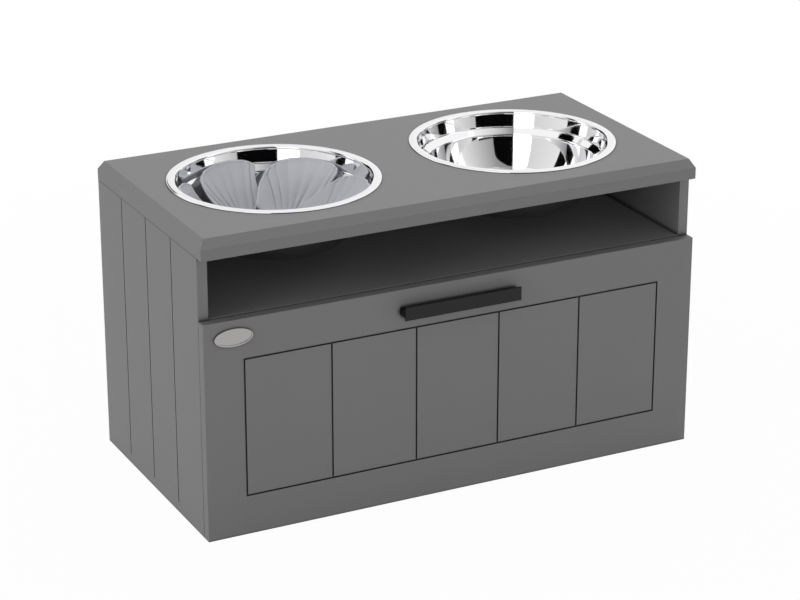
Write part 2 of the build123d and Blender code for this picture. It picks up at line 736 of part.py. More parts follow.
# ---- bowls: one spun sheet each, flange resting on the top board ----
for name, side in sides:
    bowl_axis = Axis((side * bowl_x, bowl_y, 0), (0, 0, 1))
    bowl_plane = Plane(origin=(side * bowl_x, bowl_y, height), x_dir=(1, 0, 0), z_dir=(0, -1, 0))
    with BuildPart() as bowl:
        with BuildSketch(bowl_plane):
            with BuildLine() as outside:
                crown_radius = (rim_radius + wall_radius) / 2
                roll_start = wall_radius + rollover
                ThreePointArc((rim_radius, 0), (crown_radius, rim_crown), (roll_start, rim_crown / 2))
                roll_end = (wall_radius, rim_crown / 2 - rollover)
                TangentArc((roll_start, rim_crown / 2), roll_end, tangent=(-1, 0))
                Line(roll_end, (wall_radius, -wall_depth))
                ledge_middle = ((wall_radius + ledge_radius) / 2, -(wall_depth + 2 * ledge_depth) / 3)
                ThreePointArc((wall_radius, -wall_depth), ledge_middle, (ledge_radius, -ledge_depth))
                ThreePointArc(
                    (ledge_radius, -ledge_depth), (belly_radius, -belly_depth), (heel_radius, -heel_depth)
                )
                TangentArc(
                    (heel_radius, -heel_depth), (base_radius, -bowl_depth), tangent=(-1, -heel_slope)
                )
                Line((base_radius, -bowl_depth), (0, -bowl_depth))
                offset(amount=sheet, side=Side.RIGHT)
            make_face()
        revolve(axis=bowl_axis)
    bowl.part.label = f"bowl_{name}"
    export_step(bowl.part, f"parts/bowl_{name}.step")

# ---- one petal of the slow feeder insert, around its own cup's axis ----
with BuildPart() as petal:
    with BuildSketch(Plane.XZ):
        with BuildLine():
            ThreePointArc(
                (cup_foot_radius, 0),
                (cup_middle_radius, cup_middle_height),
                (cup_tip_radius, petal_height),
            )
            offset(amount=petal_wall, side=Side.LEFT)
        make_face()
    revolve(axis=Axis.Z)
    # the petal's outline, seen from the bowl's axis; the half cup behind that axis falls away
    with BuildSketch(Plane(origin=(0, -cup_axis_aside, 0), x_dir=backward, z_dir=(1, 0, 0))):
        with BuildLine():
            Spline(
                (-petal_foot_half_width, 0),
                (-petal_stem_half_width, petal_stem_height),
                (-petal_waist_half_width, petal_waist_height),
                (-petal_belly_half_width - petal_belly_lean, petal_belly_height),
                (-petal_shoulder_half_width - petal_shoulder_lean, petal_shoulder_height),
                (-petal_tip_lean, petal_height),
                (petal_shoulder_half_width - petal_shoulder_lean, petal_shoulder_height),
                (petal_belly_half_width - petal_belly_lean, petal_belly_height),
                (petal_waist_half_width, petal_waist_height),
                (petal_stem_half_width, petal_stem_height),
                (petal_foot_half_width, 0),
            )
            Line((petal_foot_half_width, 0), (-petal_foot_half_width, 0))
        make_face()
    extrude(amount=cup_tip_radius + petal_wall, mode=Mode.INTERSECT)

# ---- slow feeder insert: a swirled flower of petals on a base disc ----
with BuildPart() as feeder_insert:
    with Locations((-bowl_x, bowl_y, bowl_floor)):
        Cylinder(feeder_base_radius, feeder_base_thickness, align=low_end)
        with PolarLocations(0, petals, start_angle=petal_turn):
            with Locations((cup_axis_out, cup_axis_aside)):
                add(petal.part)
feeder_insert.part.label = "feeder_insert"
export_step(feeder_insert.part, "parts/feeder_insert.step")
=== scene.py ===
import json
import math

import bmesh
import bpy
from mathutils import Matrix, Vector


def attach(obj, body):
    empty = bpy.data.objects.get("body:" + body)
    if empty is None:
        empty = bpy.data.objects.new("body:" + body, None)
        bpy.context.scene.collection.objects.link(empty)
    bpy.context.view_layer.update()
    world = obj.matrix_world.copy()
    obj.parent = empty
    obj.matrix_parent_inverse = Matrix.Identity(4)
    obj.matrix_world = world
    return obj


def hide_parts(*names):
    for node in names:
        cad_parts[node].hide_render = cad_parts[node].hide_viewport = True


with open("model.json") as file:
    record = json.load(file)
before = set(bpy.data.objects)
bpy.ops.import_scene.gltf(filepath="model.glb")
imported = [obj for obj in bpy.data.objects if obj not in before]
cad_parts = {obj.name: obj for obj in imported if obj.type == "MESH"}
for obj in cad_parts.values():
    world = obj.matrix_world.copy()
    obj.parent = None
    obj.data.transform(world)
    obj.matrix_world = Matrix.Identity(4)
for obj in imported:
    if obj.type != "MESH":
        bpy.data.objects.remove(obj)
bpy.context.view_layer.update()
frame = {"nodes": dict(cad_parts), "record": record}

# Elevated dog feeder with a storage drawer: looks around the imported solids.
# Metres, Z up, X to the right, Y to the back. Sizes in the dictionaries are millimetres,
# unless a note says otherwise.

mm = 0.001


def addNode(tree, kind, inputs=None, **settings):
    node = tree.nodes.new(kind)
    for name, value in settings.items():
        setattr(node, name, value)
    for socket, value in (inputs or {}).items():
        if isinstance(value, bpy.types.NodeSocket):
            tree.links.new(value, node.inputs[socket])
        else:
            node.inputs[socket].default_value = value
    return node


def colour(hexCode, alpha=1.0):
    # sRGB hex to linear
    channels = [int(hexCode[i:i + 2], 16) / 255 for i in (1, 3, 5)]
    linear = [c / 12.92 if c <= 0.04045 else ((c + 0.055) / 1.055) ** 2.4 for c in channels]
    return (*linear, alpha)


def newMaterial(name, **constants):
    # the constants go straight to the shader's own sockets
    material = bpy.data.materials.new(name)
    material.use_nodes = True
    shader = material.node_tree.nodes["Principled BSDF"]
    for socket, value in constants.items():
        shader.inputs[socket.replace("_", " ")].default_value = value
    return material, material.node_tree, shader


def link(obj):
    bpy.context.scene.collection.objects.link(obj)
    return obj


def meshFromData(name, verts, faces):
    mesh = bpy.data.meshes.new(name)
    mesh.from_pydata(verts, [], faces)
    mesh.update()
    return mesh


def closedOutward(mesh, weld):
    # doubles merged, small gaps filled, faces turned outwards
    bm = bmesh.new()
    bm.from_mesh(mesh)
    bmesh.ops.remove_doubles(bm, verts=bm.verts, dist=weld)
    bmesh.ops.holes_fill(bm, edges=[edge for edge in bm.edges if edge.is_boundary], sides=8)
    bmesh.ops.recalc_face_normals(bm, faces=bm.faces)
    bm.to_mesh(mesh)
    bm.free()
    return mesh


def newTree(name, **sockets):
    # a Geometry Nodes group with Geometry in and out and one named input for each size
    tree = bpy.data.node_groups.new(name, "GeometryNodeTree")
    tree.interface.new_socket("Geometry", in_out="INPUT", socket_type="NodeSocketGeometry")
    for label, kind in sockets.items():
        tree.interface.new_socket(label, in_out="INPUT", socket_type="NodeSocket" + kind)
    tree.interface.new_socket("Geometry", in_out="OUTPUT", socket_type="NodeSocketGeometry")
    return tree, tree.nodes.new("NodeGroupInput"), tree.nodes.new("NodeGroupOutput")


def applyTree(obj, tree, **values):
    # inputs by identifier, then the evaluated result as a plain mesh object at the origin
    modifier = obj.modifiers.new(tree.name, "NODES")
    modifier.node_group = tree
    identifiers = {item.name: item.identifier for item in tree.interface.items_tree
                   if item.item_type == "SOCKET" and item.in_out == "INPUT"}
    for label, value in values.items():
        modifier[identifiers[label]] = value
    bpy.context.view_layer.update()
    evaluated = obj.evaluated_get(bpy.context.evaluated_depsgraph_get())
    mesh = bpy.data.meshes.new_from_object(evaluated)
    name = obj.name
    bpy.data.objects.remove(obj)
    mesh.name = name
    return link(bpy.data.objects.new(name, mesh))


view = {"place": (-1.255634, -2.498439, 1.266577),  # metres
        "azimuth": 26.689, "fall": 21.2515,  # degrees
        "lens": 118.54, "sensor": 36, "clipEnd": 60}

cameraData = bpy.data.cameras.new("camera")
cameraData.lens = view["lens"]
cameraData.sensor_width = view["sensor"]
cameraData.clip_end = view["clipEnd"]
camera = link(bpy.data.objects.new("camera", cameraData))
camera.location = view["place"]
camera.rotation_euler = (math.radians(90 - view["fall"]), 0, -math.radians(view["azimuth"]))
bpy.context.scene.camera = camera
print("Camera set")


noiseLow, noiseHigh = 0.3, 0.7  # nearly all of a noise's values lie between these

# tones, roughness, size of the grain and of the clouds, depth of the grain
coats = {
    # sprayed satin paint on fibreboard: even grey, a faint orange peel, barely cloudy gloss
    "satinPaintedFibreboard": ("#868686", "#898989", 0.55, 2.2, 90, 0.05),
    # a thinner coat on the drawer box: the same grey, a little flatter
    "matPaintedFibreboard": ("#868686", "#8b8b8b", 0.6, 1.6, 60, 0.06),
    # rolled paint on hardboard: flat, slightly darker, with a finer tooth
    "paintedHardboard": ("#7e7e7e", "#868686", 0.62, 1.1, 45, 0.08),
    # polyethylene feet, moulded: near black and dull
    "mouldedBlackPolyethylene": ("#1b1b1b", "#242424", 0.55, 0.9, 20, 0.05)}
coatSway = 0.03  # of the roughness, to either side
# painted shade in grooves and joints: how near a face counts as shut in,
# the openness at which the painted shade is deepest and at which it ends, and the share of tone it
# leaves
creviceShade = {"reach": 6, "shut": 0.5, "open": 0.92, "tone": 0.1, "samples": 6}


def evenCoat(name):
    tone, lightTone, roughness, grain, cloud, relief = coats[name]
    material, tree, shader = newMaterial(name, IOR=1.5, Specular_IOR_Level=0.25)
    coords = addNode(tree, "ShaderNodeTexCoord")
    clouds = addNode(tree, "ShaderNodeTexNoise", {"Vector": coords.outputs["Object"],
                     "Scale": 1 / (cloud * mm), "Detail": 3, "Roughness": 0.55})
    tint = addNode(tree, "ShaderNodeMix", {0: clouds.outputs["Fac"], 6: colour(tone),
                   7: colour(lightTone)}, data_type="RGBA")
    grit = addNode(tree, "ShaderNodeTexNoise", {"Vector": coords.outputs["Object"],
                   "Scale": 1 / (grain * mm), "Detail": 2})
    gloss = addNode(tree, "ShaderNodeMapRange", {0: grit.outputs["Fac"], 1: noiseLow, 2: noiseHigh,
                    3: roughness - coatSway, 4: roughness + coatSway})
    bump = addNode(tree, "ShaderNodeBump", {"Height": grit.outputs["Fac"], "Strength": 0.25,
                   "Distance": relief * mm})
    # painted shade: the paint's colour darkens in grooves, joints and corners by how shut in they
    # are
    nookShade = addNode(tree, "ShaderNodeAmbientOcclusion", {"Distance": creviceShade["reach"] * mm},
                   samples=creviceShade["samples"])
    depth = addNode(tree, "ShaderNodeMapRange", {0: nookShade.outputs["AO"], 1: creviceShade["shut"],
                    2: creviceShade["open"], 3: creviceShade["tone"], 4: 1.0})
    shaded = addNode(tree, "ShaderNodeVectorMath", {0: tint.outputs[2], "Scale": depth.outputs[0]},
                     operation="SCALE")
    tree.links.new(shaded.outputs[0], shader.inputs["Base Color"])
    tree.links.new(gloss.outputs[0], shader.inputs["Roughness"])
    tree.links.new(bump.outputs[0], shader.inputs["Normal"])
    return material


# tones, roughness, width of the strokes, their stretch along X, Y and Z, depth of the strokes.
# real strokes are about a tenth of a millimetre, too fine to show, so they are drawn wider
metals = {
    # black anodised aluminium: near black, with long faint lines along the extruded handle
    "blackAnodisedAluminium": ("#2c2c2c", "#333333", 0.33, 0.5, (0.06, 1, 1), 0.01),
    # satin aluminium, brushed along the badge: a soft pale grey
    "satinAluminium": ("#a09f9d", "#acabaa", 0.34, 0.35, (0.05, 1, 1), 0.008),
    # zinc plated steel: bright bluish grey with rolling lines along the slides
    "zincPlatedSteel": ("#b7b9bc", "#c9cbcd", 0.3, 0.7, (1, 0.1, 1), 0.01),
    # die-cast zinc: duller, with a coarse even skin
    "dieCastZinc": ("#a2a3a5", "#b1b2b4", 0.42, 1.4, (1, 1, 1), 0.03),
    # pressed steel strip of the ball cages: bare and rather bright
    "pressedSteelStrip": ("#9c9c9c", "#b0b0b0", 0.25, 0.6, (1, 0.1, 1), 0.01)}
metalSway = (0.05, 0.06)  # of the roughness, down and up


def strokedMetal(name):
    # fine streaks along one axis break the highlight up
    tone, brightTone, roughness, stroke, stretch, relief = metals[name]
    material, tree, shader = newMaterial(name, Metallic=1.0)
    coords = addNode(tree, "ShaderNodeTexCoord")
    place = addNode(tree, "ShaderNodeMapping", {"Vector": coords.outputs["Object"],
                    "Scale": stretch})
    streaks = addNode(tree, "ShaderNodeTexNoise", {"Vector": place.outputs[0],
                      "Scale": 1 / (stroke * mm), "Detail": 3})
    tint = addNode(tree, "ShaderNodeMix", {0: streaks.outputs["Fac"], 6: colour(tone),
                   7: colour(brightTone)}, data_type="RGBA")
    gloss = addNode(tree, "ShaderNodeMapRange", {0: streaks.outputs["Fac"], 1: noiseLow,
                    2: noiseHigh, 3: roughness - metalSway[0], 4: roughness + metalSway[1]})
    bump = addNode(tree, "ShaderNodeBump", {"Height": streaks.outputs["Fac"], "Strength": 0.2,
                   "Distance": relief * mm})
    tree.links.new(tint.outputs[2], shader.inputs["Base Color"])
    tree.links.new(gloss.outputs[0], shader.inputs["Roughness"])
    tree.links.new(bump.outputs[0], shader.inputs["Normal"])
    return material


pin = {"tone": "#b98d5f", "lightTone": "#dcb98c", "grain": 1.2,
       "fleck": 0.15,  # stretch of the grain along the pin
       "roughness": (0.55, 0.75)}


def bareBeech():
    # turned beech pin: pale pink-brown with short dark flecks along its length
    material, tree, shader = newMaterial("bareBeech", IOR=1.5, Specular_IOR_Level=0.3)
    coords = addNode(tree, "ShaderNodeTexCoord")
    place = addNode(tree, "ShaderNodeMapping", {"Vector": coords.outputs["Object"],
                    "Scale": (pin["fleck"], 1, 1)})
    grain = addNode(tree, "ShaderNodeTexNoise", {"Vector": place.outputs[0],
                    "Scale": 1 / (pin["grain"] * mm), "Detail": 4})
    tint = addNode(tree, "ShaderNodeMix", {0: grain.outputs["Fac"], 6: colour(pin["tone"]),
                   7: colour(pin["lightTone"])}, data_type="RGBA")
    gloss = addNode(tree, "ShaderNodeMapRange", {0: grain.outputs["Fac"],
                    3: pin["roughness"][0], 4: pin["roughness"][1]})
    tree.links.new(tint.outputs[2], shader.inputs["Base Color"])
    tree.links.new(gloss.outputs[0], shader.inputs["Roughness"])
    return material


# the polished inside, the rings that spinning leaves, and the rougher skin on the underside, whose
# darker tint is painted shade
steel = {"tint": "#f4f4f5", "roughness": 0.045, "sway": (0.7, 1.4),  # shares of the roughness
         "spinPitch": 0.9, "ringDepth": 0.004,
         "underPaintedShade": "#a8a8aa", "underRoughness": 0.15,
         "underFrom": -0.25, "underTo": -0.1}  # how far a face looks down, -1 is straight down


def polishedSteel(axisX, axisY):
    # stainless sheet, spun and mirror polished: sharp reflections with a trace of rings round
    # the bowl's axis. X counts to either side of the middle, so one material fits both bowls
    material, tree, shader = newMaterial("mirrorPolishedStainlessSteel", Metallic=1.0)
    coords = addNode(tree, "ShaderNodeTexCoord")
    parts = addNode(tree, "ShaderNodeSeparateXYZ", {0: coords.outputs["Object"]})
    across = addNode(tree, "ShaderNodeMath", {0: parts.outputs["X"]}, operation="ABSOLUTE")
    centred = addNode(tree, "ShaderNodeCombineXYZ", {"X": across.outputs[0],
                      "Y": parts.outputs["Y"]})
    fromAxis = addNode(tree, "ShaderNodeVectorMath", {0: centred.outputs[0],
                       1: (axisX * mm, axisY * mm, 0)}, operation="DISTANCE")
    depth = addNode(tree, "ShaderNodeMath", {0: fromAxis.outputs["Value"], 1: parts.outputs["Z"]},
                    operation="ADD")
    rings = addNode(tree, "ShaderNodeTexNoise", {"W": depth.outputs[0],
                    "Scale": 1 / (steel["spinPitch"] * mm), "Detail": 2}, noise_dimensions="1D")
    gloss = addNode(tree, "ShaderNodeMapRange", {0: rings.outputs["Fac"], 1: noiseLow, 2: noiseHigh,
                    3: steel["roughness"] * steel["sway"][0],
                    4: steel["roughness"] * steel["sway"][1]})
    # only the inside is polished: faces that look down keep the drawn sheet's rougher skin, and
    # their darker tint is painted shade
    facing = addNode(tree, "ShaderNodeSeparateXYZ", {0: coords.outputs["Normal"]})
    polishAndUnderShade = addNode(tree, "ShaderNodeMapRange", {0: facing.outputs["Z"],
                     1: steel["underFrom"], 2: steel["underTo"], 3: 0, 4: 1})
    tint = addNode(tree, "ShaderNodeMix", {0: polishAndUnderShade.outputs[0], 6: colour(steel["underPaintedShade"]),
                   7: colour(steel["tint"])}, data_type="RGBA")
    finish = addNode(tree, "ShaderNodeMix", {0: polishAndUnderShade.outputs[0], 2: steel["underRoughness"],
                     3: gloss.outputs[0]})
    bump = addNode(tree, "ShaderNodeBump", {"Height": rings.outputs["Fac"], "Strength": 0.12,
                   "Distance": steel["ringDepth"] * mm})
    tree.links.new(tint.outputs[2], shader.inputs["Base Color"])
    tree.links.new(finish.outputs[0], shader.inputs["Roughness"])
    tree.links.new(bump.outputs[0], shader.inputs["Normal"])
    return material


# a mould's grain is finer than this, and is drawn just coarse enough to show
plastic = {"tone": "#c3c4ca", "lightTone": "#cacbd1", "roughness": 0.42, "sway": (0.04, 0.05),
           "flow": 28, "grain": 0.8, "relief": 0.03}


def mouldedPlastic():
    # grey polypropylene, injection moulded: a soft low sheen over a fine even grain
    material, tree, shader = newMaterial("mouldedPolypropylene", IOR=1.49, Specular_IOR_Level=0.4)
    coords = addNode(tree, "ShaderNodeTexCoord")
    flow = addNode(tree, "ShaderNodeTexNoise", {"Vector": coords.outputs["Object"],
                   "Scale": 1 / (plastic["flow"] * mm), "Detail": 2})
    tint = addNode(tree, "ShaderNodeMix", {0: flow.outputs["Fac"], 6: colour(plastic["tone"]),
                   7: colour(plastic["lightTone"])}, data_type="RGBA")
    grain = addNode(tree, "ShaderNodeTexNoise", {"Vector": coords.outputs["Object"],
                    "Scale": 1 / (plastic["grain"] * mm), "Detail": 1})
    gloss = addNode(tree, "ShaderNodeMapRange", {0: grain.outputs["Fac"], 1: noiseLow, 2: noiseHigh,
                    3: plastic["roughness"] - plastic["sway"][0],
                    4: plastic["roughness"] + plastic["sway"][1]})
    bump = addNode(tree, "ShaderNodeBump", {"Height": grain.outputs["Fac"], "Strength": 0.2,
                   "Distance": plastic["relief"] * mm})
    tree.links.new(tint.outputs[2], shader.inputs["Base Color"])
    tree.links.new(gloss.outputs[0], shader.inputs["Roughness"])
    tree.links.new(bump.outputs[0], shader.inputs["Normal"])
    return material


def circleThrough(start, middle, end):
    # centre and radius of the circle through three points
    (ax, ay), (bx, by), (cx, cy) = start, middle, end
    a, b, c = ax * ax + ay * ay, bx * bx + by * by, cx * cx + cy * cy
    d = 2 * (ax * (by - cy) + bx * (cy - ay) + cx * (ay - by))
    x = (a * (by - cy) + b * (cy - ay) + c * (ay - by)) / d
    y = (a * (cx - bx) + b * (ax - cx) + c * (bx - ax)) / d
    return x, y, math.hypot(ax - x, ay - y)


def arcThrough(start, middle, end, steps):
    # points on that circle from start to end by way of the middle, without the first one
    cx, cy, radius = circleThrough(start, middle, end)
    a0, a1, a2 = (math.atan2(y - cy, x - cx) for x, y in (start, middle, end))
    turn = (a2 - a0) % (2 * math.pi)
    if (a1 - a0) % (2 * math.pi) > turn:
        turn -= 2 * math.pi
    angles = [a0 + turn * i / steps for i in range(1, steps + 1)]
    return [(cx + radius * math.cos(angle), cy + radius * math.sin(angle)) for angle in angles]


def straight(start, end, steps):
    return [(start[0] + (end[0] - start[0]) * i / steps, start[1] + (end[1] - start[1]) * i / steps)
            for i in range(1, steps + 1)]


def offsetLine(points, distance):
    # the same line, moved to its right
    shifted = []
    for i, (x, y) in enumerate(points):
        before = points[max(i - 1, 0)]
        after = points[min(i + 1, len(points) - 1)]
        dx, dy = after[0] - before[0], after[1] - before[1]
        length = math.hypot(dx, dy)
        shifted.append((x + dy / length * distance, y - dx / length * distance))
    return shifted


# radius and height from the board's face, from the middle of the floor out to the rim:
# a straight stretch has its end, a bend has its middle and its end
bowl = {"spacing": 298, "y": 10.1, "top": 345, "sheet": 0.8, "segments": 256,
        "floor": (61, -70), "heel": ((75.6, -67), (84, -59.5)),
        "belly": ((92.2, -42.5), (97.6, -25.2)),
        "ledgeFoot": ((98.1, -23.7), (98.9, -22.7)), "ledge": (103.7, -17.9),
        "wallFoot": ((104.3, -17.2), (104.6, -16.2)), "wall": (108, -1.2),
        "roll": ((108.75, 0.85), (110.8, 1.64)), "rim": ((114.2, 1.74), (117.6, 1.05)),
        "lip": (118.5, 0.65)}


def bowlSection():
    # the upper face, round the lip and back along the underside
    upper = [(0, bowl["floor"][1])]
    upper += straight(upper[-1], bowl["floor"], 10)
    upper += arcThrough(upper[-1], *bowl["heel"], 16)
    upper += arcThrough(upper[-1], *bowl["belly"], 30)
    upper += arcThrough(upper[-1], *bowl["ledgeFoot"], 6)
    upper += straight(upper[-1], bowl["ledge"], 6)
    upper += arcThrough(upper[-1], *bowl["wallFoot"], 6)
    upper += straight(upper[-1], bowl["wall"], 12)
    upper += arcThrough(upper[-1], *bowl["roll"], 10)
    upper += arcThrough(upper[-1], *bowl["rim"], 10)
    under = offsetLine(upper, bowl["sheet"])
    under[0] = (0, under[0][1])
    lip = arcThrough(upper[-1], bowl["lip"], under[-1], 6)[:-1]
    return upper + lip + under[::-1]


def latheTree():
    # sweeps a section round a circle: its X counts from the circle, and Merge closes the poles
    tree, entry, result = newTree("spunSheet", Segments="Int", Radius="Float", Weld="Float",
                                  Place="Vector", Finish="Material")
    ring = addNode(tree, "GeometryNodeCurvePrimitiveCircle", {
                   "Resolution": entry.outputs["Segments"], "Radius": entry.outputs["Radius"]})
    swept = addNode(tree, "GeometryNodeCurveToMesh", {"Curve": ring.outputs[0],
                    "Profile Curve": entry.outputs["Geometry"]})
    welded = addNode(tree, "GeometryNodeMergeByDistance", {"Geometry": swept.outputs[0],
                     "Distance": entry.outputs["Weld"]})
    placed = addNode(tree, "GeometryNodeTransform", {"Geometry": welded.outputs[0],
                     "Translation": entry.outputs["Place"]})
    smooth = addNode(tree, "GeometryNodeSetShadeSmooth", {"Geometry": placed.outputs[0]})
    real = addNode(tree, "GeometryNodeRealizeInstances", {"Geometry": smooth.outputs[0]})
    painted = addNode(tree, "GeometryNodeSetMaterial", {"Geometry": real.outputs[0],
                      "Material": entry.outputs["Finish"]})
    tree.links.new(painted.outputs[0], result.inputs["Geometry"])
    return tree


def sectionCurve(name, points, radius):
    data = bpy.data.curves.new(name, "CURVE")
    data.dimensions = "3D"
    spline = data.splines.new("POLY")
    spline.points.add(len(points) - 1)
    for point, (x, z) in zip(spline.points, points):
        point.co = ((x - radius) * mm, -z * mm, 0, 1)  # the sweep turns the section's Y downwards
    return link(bpy.data.objects.new(name, data))


spunSheet = latheTree()
sweepRadius = 60  # of the circle that carries the section, any value inside the piece
poleWeld = 1e-6  # metres
mirrorSteel = polishedSteel(bowl["spacing"] / 2, bowl["y"])
for side, x in (("left", -bowl["spacing"] / 2), ("right", bowl["spacing"] / 2)):
    section = sectionCurve(side + "BowlSteel", bowlSection(), sweepRadius)
    spun = applyTree(section, spunSheet, Segments=bowl["segments"], Radius=sweepRadius * mm,
                     Weld=poleWeld, Place=(x * mm, bowl["y"] * mm, bowl["top"] * mm),
                     Finish=mirrorSteel)
    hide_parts("bowl_" + side)
    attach(spun, "bowl_" + side)
    print("Bowl", side, len(spun.data.vertices), "points")


# Each petal is a scoop cut from the side of a cup that stands off the bowl's axis. Before it
# is turned, X leads out from that axis and Y along the petal's width. Heights count from the
# bowl's floor.
feeder = {"petals": 6, "turn": 47.3,  # degrees
          "floor": 275, "cupOut": 34.1, "cupAside": -6.6,
          "cup": ((10.1, 0), (54.1, 37), (71.2, 60.6)),  # radius and height
          # height and half width
          "widths": ((0, 8), (13, 21), (25, 35), (37, 39.4), (49, 40.7), (60.6, 41.5)),
          # height and Y of the petal's middle
          "leans": ((0, 0), (37, 0), (49, -3.8), (57.7, -9.7), (60.6, -13)),
          "foot": 1.1, "shoulder": 49, "height": 60.6,
          "shoulderPower": 3, "topPower": 0.4, "topRounds": 40,
          "creases": ((16.2, 41.8), (10.8, 32), (5.2, 17.4), (-0.8, -4.5), (-5.5, -22.5),
                      (-16.5, -39), (-24, -43.5)),  # Y at the two crease heights
          "creaseHeights": (15, 57),
          # furthest out as a share of the half width, from the edge in
          "creaseLimits": (0.93, 0.86, 0.8),
          "pleatShares": (0, 0.06, 0.15, 0.28, 0.42, 0.58, 0.74, 0.88),
          "pleatDepth": 2.3, "pleatSkew": 0.75, "pleatFoot": 12,
          "pleatFade": 0.4, "pleatFadeFrom": 30,
          "wall": 1.7, "bead": 1.25, "beadEnd": 2.6,
          "edgeSteps": (0, 0.12, 0.4, 0.8, 1.25, 1.7, 2.15, 2.6), "edgeGap": 0.6,
          "edgePleats": (11.7, 4.7),  # rough widths of the first and the last pleat
          # the edge steps rule up to here in the first pleat and from here in the last
          "edgeShares": (0.3, 0.4),
          "rows": 30, "rowBias": 1.25, "weld": 0.02,
          "hub": 50, "hubHeight": 3, "hubRound": 1.2, "hubBend": 0.35, "hubSegments": 96}


def smoothThrough(knots, z):
    # monotone cubic through the knots, so that nothing overshoots
    slopes = []
    for i in range(len(knots)):
        if i in (0, len(knots) - 1):
            a, b = (knots[0], knots[1]) if i == 0 else (knots[-2], knots[-1])
            slopes.append((b[1] - a[1]) / (b[0] - a[0]))
        else:
            left = (knots[i][1] - knots[i - 1][1]) / (knots[i][0] - knots[i - 1][0])
            right = (knots[i + 1][1] - knots[i][1]) / (knots[i + 1][0] - knots[i][0])
            slopes.append(0 if left * right <= 0 else 2 * left * right / (left + right))
    z = min(max(z, knots[0][0]), knots[-1][0])
    for i in range(len(knots) - 1):
        (z0, v0), (z1, v1) = knots[i], knots[i + 1]
        if z <= z1:
            h = z1 - z0
            t = (z - z0) / h
            return ((2 * t ** 3 - 3 * t ** 2 + 1) * v0 + (t ** 3 - 2 * t ** 2 + t) * h * slopes[i]
                    + (3 * t ** 2 - 2 * t ** 3) * v1 + (t ** 3 - t ** 2) * h * slopes[i + 1])
    return knots[-1][1]


def eased(value, start, end):
    t = min(max((value - start) / (end - start), 0), 1)
    return t * t * (3 - 2 * t)


def cupRadiusAt(z):
    middle, height, radius = circleThrough(*feeder["cup"])
    return middle + math.sqrt(max(radius ** 2 - (z - height) ** 2, 0))


def halfWidth(z):
    return smoothThrough(feeder["widths"], z)


def creaseAcross(number, z):
    # creases are straight lines up the petal, held in from its edges; 0 and the last are the edges
    last = len(feeder["creases"]) + 1
    if number in (0, last):
        return 1 if number == 0 else -1
    low, high = feeder["creases"][number - 1]
    z0, z1 = feeder["creaseHeights"]
    y = low + (high - low) * (z - z0) / (z1 - z0)
    across = (y - smoothThrough(feeder["leans"], z)) / halfWidth(z)
    limits = feeder["creaseLimits"]
    limit = limits[min(number, last - number, len(limits)) - 1]
    return min(max(across, -limit), limit)


def acrossAt(pleat, share, z):
    # from 1 at one edge to -1 at the other
    first, second = creaseAcross(pleat, z), creaseAcross(pleat + 1, z)
    return first + (second - first) * share


def petalColumns():
    # the pleat and the share of its width for each column, packed closer along both edges
    f = feeder
    last = len(f["creases"])
    columns = {(0, step / f["edgePleats"][0]) for step in f["edgeSteps"]}
    columns |= {(last, 1 - step / f["edgePleats"][1]) for step in f["edgeSteps"]}
    for pleat in range(last + 1):
        for share in f["pleatShares"]:
            atFirst = pleat == 0 and share < f["edgeShares"][0]
            atLast = pleat == last and share > f["edgeShares"][1]
            if not (atFirst or atLast):
                columns.add((pleat, share))
    return sorted(columns)


def columnTop(pleat, share):
    # the outline falls away towards the shoulders, and its height there settles round by round
    f = feeder
    top = f["shoulder"]
    for _ in range(f["topRounds"]):
        crown = max(1 - abs(acrossAt(pleat, share, top)) ** f["shoulderPower"], 0) ** f["topPower"]
        top = (top + f["shoulder"] + (f["height"] - f["shoulder"]) * crown) / 2
    return top


def petalPoint(pleat, share, z, top):
    # a point in the middle of the wall, and half the wall's thickness there
    f = feeder
    across = acrossAt(pleat, share, z)
    y = smoothThrough(f["leans"], z) + across * halfWidth(z)
    flute = math.sin(math.pi * share ** f["pleatSkew"])
    fade = 1 - f["pleatFade"] * eased(z, f["pleatFadeFrom"], f["height"])
    pull = f["pleatDepth"] * flute * min(1, z / f["pleatFoot"]) * fade
    r = cupRadiusAt(z) - f["wall"] / 2 - pull
    x = f["cupOut"] + math.sqrt(max(r * r - (y - f["cupAside"]) ** 2, 0))
    # near an edge the wall swells into a round bead, which closes it
    inside = min((1 - abs(across)) * halfWidth(z), top - z, z - f["foot"])
    bead = math.sqrt(max(f["bead"] ** 2 - (inside - f["bead"]) ** 2, 0))
    blend = eased(inside, f["bead"], f["beadEnd"])
    return Vector((x, y, z)), bead * (1 - blend) + f["wall"] / 2 * blend


def petalMesh():
    # the scoop laid out on a grid, then given two faces that meet along its edge
    f = feeder
    climbs = [1 - (1 - row / f["rows"]) ** f["rowBias"] for row in range(f["rows"])]
    grid = []
    for pleat, share in petalColumns():
        top = columnTop(pleat, share)
        climb = top - f["foot"] - f["edgeSteps"][-1] - f["edgeGap"]
        heights = [f["foot"] + climb * part for part in climbs]
        heights += [top - step for step in f["edgeSteps"][::-1]]
        grid.append([petalPoint(pleat, share, z, top) for z in heights])
    rows, columns = len(grid[0]), len(grid)
    verts, faces = [], []
    for side in (1, -1):
        for i, line in enumerate(grid):
            for row, (point, half) in enumerate(line):
                along = line[min(row + 1, rows - 1)][0] - line[max(row - 1, 0)][0]
                aside = grid[min(i + 1, columns - 1)][row][0] - grid[max(i - 1, 0)][row][0]
                verts.append((point + along.cross(aside).normalized() * half * side) * mm)
    for side in (0, 1):
        for i in range(columns - 1):
            for row in range(rows - 1):
                corner = (side * columns + i) * rows + row
                quad = (corner, corner + rows, corner + rows + 1, corner + 1)
                faces.append(quad if side else quad[::-1])
    return closedOutward(meshFromData("petal", verts, faces), f["weld"] * mm)


